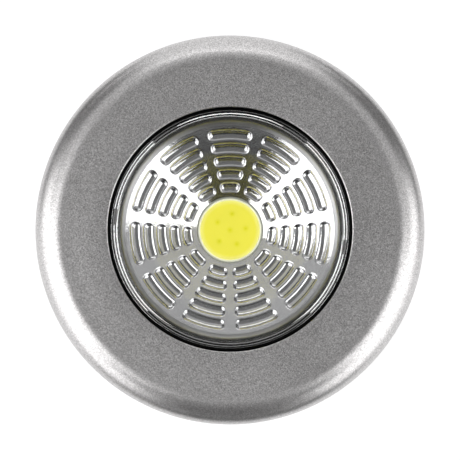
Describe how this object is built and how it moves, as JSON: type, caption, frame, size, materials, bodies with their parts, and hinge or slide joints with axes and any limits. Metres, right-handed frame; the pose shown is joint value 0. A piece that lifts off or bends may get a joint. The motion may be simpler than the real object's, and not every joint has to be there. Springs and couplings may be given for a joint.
{
  "type": "push puck light",
  "caption": "Round battery push light with a painted ring, clear push lens, grooved chrome dish, chip LED and twist-off back cover.",
  "frame": {"origin": "centre of the foam pad's back face, on the light's axis", "axes": "+Z out of the lens along the light's axis, +Y up in the picture, battery cells along Y"},
  "size_m": [0.07, 0.07, 0.0266],
  "materials": {
    "silver_paint": "satin silver metallic paint with fine sparkle",
    "clear_plastic": "clear, polished",
    "chrome": "bright vacuum metallised plastic",
    "phosphor": "soft silicone with phosphor, satin",
    "dam_white": "translucent silicone, satin",
    "board_aluminium": "fine brushed with white solder mask",
    "black_plastic": "fine moulded texture",
    "white_plastic": "moulded, satin",
    "foam": "closed cell foam tape, matt",
    "nickel": "nickel plated spring steel",
    "steel": "zinc plated",
    "cell_sleeve": "plain shrink sleeve, satin, no print",
    "board_green": "glass epoxy board with green solder mask",
    "resistor_black": "black body with tinned ends",
    "red_sheath": "extruded sheath, satin",
    "black_sheath": "extruded sheath, satin"
  },
  "bodies": {
    "housing": {"front_bezel": "silver_paint", "battery_chassis": "black_plastic", "contact_positive": "nickel", "contact_negative": "nickel", "contact_link_front": "nickel", "contact_link_rear": "nickel", "switch_board": "board_green", "switch_body": "white_plastic", "series_resistor": "resistor_black", "battery_wire_red": "red_sheath", "battery_wire_black": "black_sheath", "chassis_screw_1": "steel", "chassis_screw_2": "steel", "chassis_screw_3": "steel", "chassis_screw_4": "steel", "battery_cell_1": "cell_sleeve", "battery_cell_2": "cell_sleeve", "battery_cell_3": "cell_sleeve"},
    "push_module": {"lens": "clear_plastic", "reflector": "chrome", "chip_phosphor": "phosphor", "chip_dam": "dam_white", "led_board": "board_aluminium", "push_carrier": "black_plastic", "board_screw_1": "steel", "board_screw_2": "steel", "return_spring_1": "steel", "return_spring_2": "steel", "return_spring_3": "steel", "return_spring_4": "steel", "led_wire_red": "red_sheath", "led_wire_black": "black_sheath"},
    "switch_stem": {"switch_stem": "white_plastic"},
    "battery_cover": {"battery_cover": "black_plastic", "adhesive_pad": "foam"}
  },
  "joints": [
    {"name": "lens_push", "type": "slide", "parent": "housing", "child": "push_module", "axis": [0, 0, -1], "range_m": [0, 0.0018], "stiffness_N_per_m": 600, "springref_m": -0.002, "deforming": ["return_spring_1", "return_spring_2", "return_spring_3", "return_spring_4", "led_wire_red", "led_wire_black"]},
    {"name": "stem_press", "type": "slide", "parent": "housing", "child": "switch_stem", "axis": [0, 0, -1], "range_m": [0, 0.0018]},
    {"name": "cover_twist", "type": "hinge", "parent": "housing", "child": "battery_cover", "pos_m": [0, 0, 0.0021], "axis": [0, 0, 1], "range_deg": [0, 20]}
  ],
  "couplings": [
    {"joint": "stem_press", "follows": "lens_push", "ratio": 1}
  ]
}
